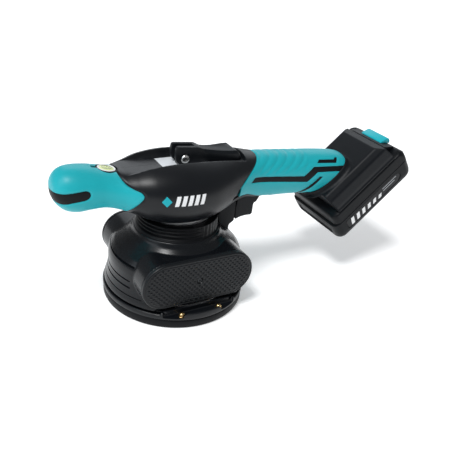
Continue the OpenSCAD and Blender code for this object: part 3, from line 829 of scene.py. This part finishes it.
def make_cup():
    h = CUP_HIGH[2]
    cup = lathe("cup_rim", [
        (30, 1.5), (47, 1.5), (49, 0.4), (50, 0), (CUP_R - 1.6, 0), (CUP_R - 0.5, 0.5),
        (CUP_R, 1.6), (CUP_R, h - 1.6), (CUP_R - 0.4, h - 0.6), (CUP_R - 1.2, h), (34, h),
        (34, 5), (30, 5)], 256)
    finish_piece(cup, cup_black, replaces=["suction_cup"])


def raised_lip(radius, height, angle):
    """The ring's outer lip stands higher in front of the pods, with a step at each end."""
    side = np.abs(np.abs((np.degrees(angle) + 180) % 360 - 180) - 90)
    front = step_between(34.5, 33.6, side)
    outer = radius > RING_R - 3.2
    raised = np.where(outer & (height > 10), front * 1.6, 0)
    return radius, height + raised


def make_base_ring():
    """Ring on the cup, with a deep pocket in front of each pod."""
    low, top = CUP_HIGH[2], RING_HIGH[2]
    profile = [
        (50, low), (61.2, low), (61.8, low + 0.5), (RING_R, low + 1.2), (RING_R, 11.4), (61.7, 12.1),
        (61.1, 12.5), (60.2, 12.5), (59.9, 12), (59.8, 10.8), (59.3, 10.4), (58.5, 10.4),
        (58.3, top), (50, top)]
    ring = lathe("base_ring_moulding", profile, around=720, shape=raised_lip)
    for m in (-1, 1):
        near, far = sorted((50.6 * m, 59.6 * m))
        cut(ring, bevelled(block((-33, near, 10), (33, far, 30)), 1.2))
    finish_piece(ring, black, replaces=["base_ring"])


def dome_profile(radius, z0, z1):
    turn = np.linspace(0, pi / 2, 12)
    crown = [(radius * cos(a), z1 + radius * 0.8 * sin(a)) for a in turn]
    return [(0, z0), (radius, z0), *crown]


def make_ring_screws():
    """Four domed brass contacts on collars, two in each pocket."""
    floor, flat = 10.05, 10.5
    whole = None
    for x in (-17, 17):
        for y in (-55.2, 55.2):
            dome = lathe("ring_screw_domes", dome_profile(2.4, floor, 11.6), 40)
            foot = [(0, floor), (2.9, floor), (2.9, 10.3), (2.7, flat), (0, flat)]
            collar = lathe("collar", foot, 40)
            joined(dome, collar)
            place(dome, Matrix.Translation((x, y, 0)))
            whole = joined(whole, dome) if whole else dome
    whole.name = "ring_screw_domes"
    finish_piece(whole, brass, replaces=["ring_screws"])


make_lower_housing()
make_pod_cover(-1, "pod_cover_knurled_left", "pod_cover_left")
make_pod_cover(1, "pod_cover_knurled_right", "pod_cover_right")
make_pod_screws()
make_neck()
make_cable_boot()
make_cup()
make_base_ring()
make_ring_screws()


# ---- cam lever, its pin and the rod's spring
def lever_arm():
    """Flared arm, scooped along its top, through sections of x, half width and top height."""
    low = PIN_Z - 4.2
    sections = [
        (9.5, 6.4, 8.6), (13, 6.4, 8.2), (17, 6.5, 6.4), (22, 6.9, 5.4), (28, 7.9, 4.7), (34, 9.3, 4.3),
        (40, 10.5, 4.1), (45.5, 10.7, 4.0), (47.6, 10.5, 2.6), (50, 10, -0.2), (51, 9.4, -3.4)]
    rings = []
    for x, w, top in sections:
        t = PIN_Z + top
        base = low if x < 50.5 else low + 0.6
        edge = max(t - 2.2, base + 0.2)
        scoop = 0.9 * float(step_between(20, 30, x) * step_between(47, 44, x))
        rings.append([
            (x, -w, base), (x, w, base), (x, w, edge), (x, w - 1.6, t), (x, w - 3.4, t - scoop),
            (x, -w + 3.4, t - scoop), (x, -w + 1.6, t), (x, -w, edge)])
    return tube("cam_lever_moulding", rings)


def ear_outline():
    """Ear round the pin; its cam face moves away from the pin by 3 mm in a quarter turn."""
    grow = 3 / radians(90)
    cam = []
    for a in np.radians(np.arange(0, 91, 6)):
        reach = 5 + grow * a
        cam.append((-reach * sin(a) - grow * cos(a),
                    PIN_Z - reach * cos(a) + grow * sin(a)))
    back = [(-8, PIN_Z + 6), (-7.4, PIN_Z + 10.4), (12.5, PIN_Z + 8.6), (17, PIN_Z + 6.2)]
    return [(14, PIN_Z - 4.95), *cam, *rounded(back, 2.6, closed=False), (17, PIN_Z - 3.6)]


def make_lever():
    """Fork with two ears round the draw rod, and its arm."""
    arm = lever_arm()
    joined(arm, prism(ear_outline(), -6.4, 6.4))
    cut(arm, block((-20, -3.1, 100), (9.5, 3.1, 150)))
    bevelled(arm, 0.55, 3, 28)
    cut(arm, rod_y(2.56, 0, PIN_Z, -20, 20))
    finish_piece(arm, slate, "lever", replaces=["cam_lever"], angle=38)


def make_pin():
    """Hinge pin with domed heads, each with a round recess in its top."""
    pin = rod_y(2.5, 0, PIN_Z, -6.7, 6.7, name="lever_pin_turned")
    for m in (-1, 1):
        head = lathe("head", [
            (0, 0), (3.5, 0), (3.5, 0.7), (3.1, 1.3), (2.2, 1.6), (1.5, 1.6), (1.3, 0.7), (0, 0.7)], 48)
        turned = Matrix.Rotation(-m * pi / 2, 4, "X")
        place(head, Matrix.Translation((0, 6.55 * m, PIN_Z)) @ turned)
        joined(pin, head)
    finish_piece(pin, steel, "rod", ["lever_pin"])


def make_cam_plate():
    plate = bevelled(block(PLATE_LOW, PLATE_HIGH, "cam_plate_moulding"), 0.5)
    cut(plate, drill(ROD_HOLE, 100, 140, 64))
    finish_piece(plate, plate_white, replaces=["cam_plate"])


def make_rod_spring():
    """The spring over the rod's collar."""
    low, high = box_mm("rod_spring")
    wire, turns, travel = 0.7, 5, 3.0
    section = np.linspace(0, 2 * pi, 12, endpoint=False)
    reach = high[0] - wire + wire * np.cos(section)
    rings = []
    for share in np.linspace(0, 1, turns * 36 + 1):
        a = 2 * pi * turns * share
        z = low[2] + wire + (high[2] - low[2] - 2 * wire) * share
        rings.append([(r * cos(a), r * sin(a), z + wire * sin(b))
                      for r, b in zip(reach, section)])
    coil = tube("closing_spring", rings)
    finish_piece(coil, steel, replaces=["rod_spring"], angle=50)
    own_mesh(coil)


make_lever()
make_pin()
make_cam_plate()
make_rod_spring()


# ---- level
def level_part(name, profile, around, material, replaces=(), shift=(0, 0, 0)):
    part = place(lathe(name, profile, around), level_place() @ Matrix.Translation(shift))
    finish_piece(part, material, replaces=replaces)


def make_level_bezel():
    bezel = lathe("level_bezel_ring", [
        (7.1, 0), (8.2, 0), (8.35, 2.8), (8.1, 3.6), (7.5, 3.9), (7.1, 3.6)], 96)
    joined(bezel, bevelled(block((-12, -1.6, 2.0), (-7.3, 1.6, 3.6)), 0.5))
    place(bezel, level_place())
    finish_piece(bezel, black, replaces=["level_bezel"])


def make_level():
    """Bull's-eye level: dished rim, fluid with two rings and a bubble."""
    level_part("level_vial_rim", [
        (5.6, 0.2), (7.05, 0.2), (7.05, 3.9), (6.6, 4.25), (6.0, 4.2), (5.6, 3.8)],
        96, white_print)
    level_part("level_fluid_body", [
        (0, 0.1), (5.5, 0.1), (5.55, 3.9), (4.6, 4.25), (3, 4.5), (1.4, 4.62), (0, 4.66)],
        96, fluid_green, ["level_fluid", "level_vial"])
    for k, radius in enumerate((2.0, 3.6)):
        far = radius + 0.22
        level_part(f"level_line_{k}", [
            (radius, 4.4), (far, 4.4), (far, 4.74 - 0.06 * k), (radius, 4.74 - 0.04 * k)],
            64, grey_print)
    level_part("level_bubble", [(0, 4.5), (1.2, 4.5), (1.15, 4.72), (0.8, 4.86), (0, 4.92)],
               40, vial_clear, shift=(0.8, 0.5, 0))


# ---- trigger
def make_trigger():
    """Finger lever with a stepped front face, its lower edges rounded."""
    outline = [
        (56, 95), (64, 95), (66, 90.5), (78, 90.4), (84, 88.4), (76.4, 86.4), (74.6, 82.6),
        (72.4, 79.3), (70, 78.2), (69.8, 68.2), (68.4, 67), (62.8, 67.2), (57, 66.4),
        (52.9, 64.6), (52.3, 76), (54, 88)]
    trigger = prism(rounded(outline, 1.2, steps=3), -8.4, 8.4, "trigger_moulding")
    bevelled(trigger, 1.2, 4, 50)
    cut(trigger, rod_y(2.06, 60, 92, -20, 20))
    finish_piece(trigger, slate, "trigger", replaces=["trigger"], angle=40)


make_level_bezel()
make_level()
make_trigger()


# ---- dock and battery, in the tilted frame
def flat_y(points):
    """Outline of (s, t) pairs as X and Z of the tilted frame."""
    return [(s, -t) for s, t in points]


def bevel_plane(low_t):
    """Wedge beyond the bevel at the dock's upper end, down to t = low_t."""
    start = BEVEL_S
    reach = start + (low_t - DOCK_T) / tan(BEVEL)
    return flat_y([(start, DOCK_T), (start, DOCK_T - 20), (reach + 30, DOCK_T - 20), (reach, low_t)])


def dock_body():
    """Foot of the handle, with steps where the round handle runs into it."""
    s0, s1 = DOCK_S
    half = [(0, DOCK_T), (22.6, DOCK_T), (24.2, DOCK_T + 0.5), (28.2, 35.4), (28.4, 36.4),
            (34.8, 41.6), (36.6, 42.8), (PACK_Y, 43.8), (PACK_Y, RAIL_T - 0.3), (0, RAIL_T - 0.3)]
    section = half + [(-y, t) for y, t in reversed(half[1:-1])]
    places = (s0, s0 + 20, s1 - 20, s1)
    dock = tube("battery_dock_moulding", [[(s, y, -t) for y, t in section] for s in places])
    heel = [(s0 - 10, 20), (s0 + 6.4, 20), (s0 - 6, 36.2), (s0 - 20, 40)]
    for wedge in (bevel_plane(60), flat_y(heel)):
        cut(dock, prism(wedge, -50, 50))
    for out, t in ((-0.9, 26.4), (-1.5, 27.8), (-2.4, 29.2), (-3.8, 30.3), (-5.6, 31.2)):
        slab = body_form("slab", out, step=2, around=128, span=(110, 170.4))
        place(slab, tilted.inverted())
        cut(slab, block((60, -60, -t), (300, 60, 200)))
        cut(slab, block((60, -60, -200), (300, 60, -33)))
        joined(dock, slab)
    return moulded(dock, 0.6, 7)


def make_dock():
    """Dock with the handle's seat in its top and the battery's rail slot underneath."""
    dock = dock_body()
    seat = body_form("seat", 0.15, step=2, around=128, span=(110, 170.3))
    place(seat, tilted.inverted())
    cut(seat, block((60, -60, -200), (300, 60, -DOCK_T)))
    cut(dock, seat)
    start = DOCK_S[0] + 6
    cut(dock, block((start, -22.4, -43.5), (300, 22.4, -37.6)))
    cut(dock, block((start, -18.4, -50), (300, 18.4, -43)))
    cut(dock, block((start - 7, -14, -50), (300, 14, -RAIL_T + 1.6)))
    place(dock, tilted)
    finish_piece(dock, dock_grey, replaces=["battery_dock"], angle=45)


def pack_levels(name, levels, count=14):
    """Stack of rounded rectangles: (t, s0, s1, half width, corner radius)."""
    rings = []
    for t, s0, s1, y, r in levels:
        ring = []
        corners = ((s1 - r, y - r), (s0 + r, y - r), (s0 + r, -y + r), (s1 - r, -y + r))
        for k, (cs, cy) in enumerate(corners):
            for a in np.radians(np.linspace(90 * k, 90 * k + 90, count)):
                ring.append((cs + r * cos(a), cy + r * sin(a), -t))
        rings.append(ring)
    return tube(name, rings)


def button_place():
    """Frame on the bevel: X down the bevel, Z out of it."""
    return Matrix.Translation((BEVEL_S, 0, -DOCK_T)) @ Matrix.Rotation(BEVEL, 4, "Y")


def battery_hump():
    """Block at the upper end that carries the release button."""
    side = [(229.9, 48), (229.9, 37.4), (237.6, 44), (238.6, 45.6), (238.6, 48)]
    hump = prism(flat_y(side), -25, 25)
    section = [(-15.5, -30), (15.5, -30), (27, -41), (27, -60), (-27, -60), (-27, -41)]
    turned = Matrix.Rotation(-pi / 2, 4, "Z")
    common(hump, place(prism(section, 225, 245), turned))
    return bevelled(hump, 1.0)


def cell_room(floor, top):
    return block((151.5, -33, floor), (233.5, 33, top))


def make_battery_top():
    """Upper shell with the rails, three contact slots and the button's pocket."""
    y = PACK_Y
    top = pack_levels("battery_top_moulding", [
        (RAIL_T + 0.1, 150.4, 237.4, y - 1.6, 5), (RAIL_T + 0.6, 149.4, 238.6, y - 0.7, 6),
        (RAIL_T + 1.6, 148.8, 239.6, y, 6.5), (RAIL_T + 5, 148.2, 241.5, y, 6.5),
        (57.2, 147.4, 241.5, y, 6.5), (57.8, 148, 241, y - 0.5, 6)])
    joined(top, battery_hump())
    joined(top, block((171, -18, -47), (231, 18, -42.8)))
    joined(top, block((171, -22, -43.2), (231, 22, -38)))
    for slot_y in (-10, 0, 10):
        cut(top, block((170, slot_y - 1.2, -45), (181, slot_y + 1.2, -36)))
    cut(top, place(block((15.2, -14.5, -4.4), (27.4, 14.5, 8)), button_place()))
    cut(top, cell_room(-90, -RAIL_T - 2.4))
    place(top, tilted)
    finish_piece(top, pack_black, "battery", replaces=["battery_top"])


def make_battery_base():
    """Lower shell, with a label recess on each flank and a panel in its low end."""
    y = PACK_Y
    base = pack_levels("battery_base_moulding", [
        (58, 146.2, 241, y - 0.6, 6), (58.5, 145.2, 241.5, y, 7), (60, 144.8, 241.5, y, 7.5),
        (66, 143.8, 241, y, 8), (71, 143.4, 240.4, y, 8), (74, 143.4, 239.6, y - 0.3, 8),
        (75.6, 144, 238.6, y - 1.2, 7.8), (76.5, 145.2, 237.2, y - 2.6, 7.2),
        (76.9, 147, 235.4, y - 4.6, 6.4)])
    cut(base, cell_room(-73.5, -40))
    label = [(156, 61), (222, 61), (227, 63.4), (227, 68), (222, 71.6), (156, 71.6)]
    for m in (-1, 1):
        near, far = sorted(((y - 0.5) * m, (y + 3) * m))
        cut(base, prism(flat_y(rounded(label, 2.4)), near, far))
    cut(base, bevelled(block((140, -27, -72), (144.6, 27, -62)), 0.8))
    place(base, tilted)
    finish_piece(base, pack_black, "battery", replaces=["battery_base"])


def tilted_bar(name, corners, side, depth, material):
    """Thin printed bar in a flank's recess, its corners in s and t."""
    floor = PACK_Y - 0.5
    near, far = sorted((side * floor, side * (floor + depth)))
    bar = place(prism(flat_y(corners), near, far, name), tilted)
    return finish_piece(bar, material, "battery")


def make_battery_marks():
    """Plain label on each flank: a gloss strip, six slanted bars and two fine lines."""
    outline = [(157, 61.6), (221.6, 61.6), (226, 63.8), (226, 67.6), (221.6, 71), (157, 71)]
    raised, low = 0.34, 70.2
    for side, tag in ((-1, "near"), (1, "far")):
        label = tilted_bar(f"battery_label_{tag}", rounded(outline, 2), side, 0.2, black_gloss)
        if side < 0:
            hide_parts("battery_badge")
        for k in range(6):
            s = 161 + 7 * k
            high = low - 7.4 + 0.75 * k
            corners = [(s, low), (s + 3.6, low), (s + 5.6, high), (s + 2.0, high)]
            tilted_bar(f"battery_bar_{tag}_{k}", corners, side, raised, white_print)
        for k in range(2):
            t, end = 63.6 + 2.6 * k, 222 - 3 * k
            corners = [(204, t), (end, t), (end, t + 0.9), (204, t + 0.9)]
            tilted_bar(f"battery_line_{tag}_{k}", corners, side, raised, grey_print)


def make_button():
    """Wedge-shaped release button across the battery's upper end."""
    profile = [(15.4, -2.2), (15.4, 0.1), (17.2, 1.1), (23.6, 3.0), (25.4, 2.6), (26.8, 0.4),
               (26.8, -2.2)]
    button = prism(rounded(profile, 0.7, steps=3), -14.1, 14.1, "release_button_cap")
    bevelled(button, 0.5, 2, 50)
    place(button, tilted @ button_place())
    finish_piece(button, teal_hard, "release", ["release_button"], angle=40)


make_dock()
make_battery_top()
make_battery_base()
make_battery_marks()
make_button()


# ---- CAD nodes that stay, with their materials
FINISHES = {
    steel: ["diaphragm_plate", "motor_bearings", "rotor_shaft_front", "rotor_shaft_rear",
            "draw_rod", "rod_collar", "housing_screws", "trigger_pin", "cell_straps"],
    alloy: ["base_plate", "motor_can_front", "motor_can_rear", "motor_end_caps", "neck_plate"],
    iron: ["rotor_weights_front", "rotor_weights_rear"],
    copper: ["rotor_core_front", "rotor_core_rear"],
    brass: ["rod_bush", "dock_contacts"],
    cup_black: ["cup_diaphragm", "isolator_buffers"],
    black: ["trigger_switch", "terminal_block"],
    red_plastic: ["switch_plunger"],
    green_board: ["control_board", "battery_board"],
    cell_blue: ["battery_cells"],
}


def paint_cad_nodes():
    for material, names in FINISHES.items():
        for name in names:
            obj = frame["nodes"][name]
            obj.data.materials.clear()
            obj.data.materials.append(material)


paint_cad_nodes()


# ---- floor, lights and camera
def make_floor():
    size = 4000
    corners = [(-size, -size, 0), (size, -size, 0), (size, size, 0), (-size, size, 0)]
    floor = new_piece("floor", corners, [[0, 1, 2, 3]])
    glow = {"Specular IOR Level": 0.1, "Emission Color": (1, 1, 1, 1), "Emission Strength": 0.3}
    pale = shader("pale_floor", (0.93, 0.93, 0.93), 0.95, tone=0.01, bump=0.02, patches=3,
                  grain=200, settings=glow)
    floor.data.materials.append(pale)


def new_light(name, kind, spot, aim, power):
    data = bpy.data.lights.new(name, kind)
    data.energy = power
    light = bpy.data.objects.new(name, data)
    bpy.context.scene.collection.objects.link(light)
    light.location = spot
    light.rotation_euler = (Vector(aim) - Vector(spot)).to_track_quat("-Z", "Y").to_euler()
    return data


def make_lights():
    """Soft sun from the front left, a wide panel behind and a smaller one on the left."""
    key = new_light("key", "SUN", (-0.45, -0.25, 0.95), (0, 0, 0), 2.1)
    key.angle = radians(16)
    for name, spot, size, power, colour in (
            ("back", (0.64, 1.0, 0.75), (1.7, 0.9), 5.8, (0.9, 0.95, 1)),
            ("left", (-1.2, -0.1, 0.8), (0.8, 0.8), 4.4, (0.84, 0.92, 1))):
        panel = new_light(name, "AREA", spot, (0.03, 0, 0.08), power)
        panel.shape = "RECTANGLE"
        panel.size, panel.size_y = size
        panel.color = colour
    world = bpy.data.worlds.new("studio")
    world.use_nodes = True
    sky = world.node_tree.nodes["Background"]
    sky.inputs["Color"].default_value = (0.96, 0.98, 1, 1)
    sky.inputs["Strength"].default_value = 0.27
    bpy.context.scene.world = world


def make_camera():
    """Camera at the photograph's viewing angle: turned, raised and slightly rolled."""
    azimuth, elevation, roll = radians(-32.211), radians(28.464), radians(6.803)
    flat = cos(elevation)
    back = Vector((sin(azimuth) * flat, -cos(azimuth) * flat, sin(elevation)))
    right = Vector((cos(azimuth), sin(azimuth), 0))
    up = right.cross(-back)
    side = right * cos(roll) + up * sin(roll)
    over = up * cos(roll) - right * sin(roll)
    data = bpy.data.cameras.new("camera")
    data.sensor_width = 36
    data.lens = 46.743
    data.clip_start, data.clip_end = 0.01, 20
    camera = bpy.data.objects.new("camera", data)
    bpy.context.scene.collection.objects.link(camera)
    turn = Matrix((side, over, back)).transposed()
    centre = Vector((34.8, 0, 78.3)) + back * 522 + side * 13.83 - over * 22.69
    camera.matrix_world = Matrix.Translation(centre * MM) @ turn.to_4x4()
    bpy.context.scene.camera = camera


make_floor()
make_lights()
make_camera()
bpy.context.scene.view_settings.view_transform = "Standard"
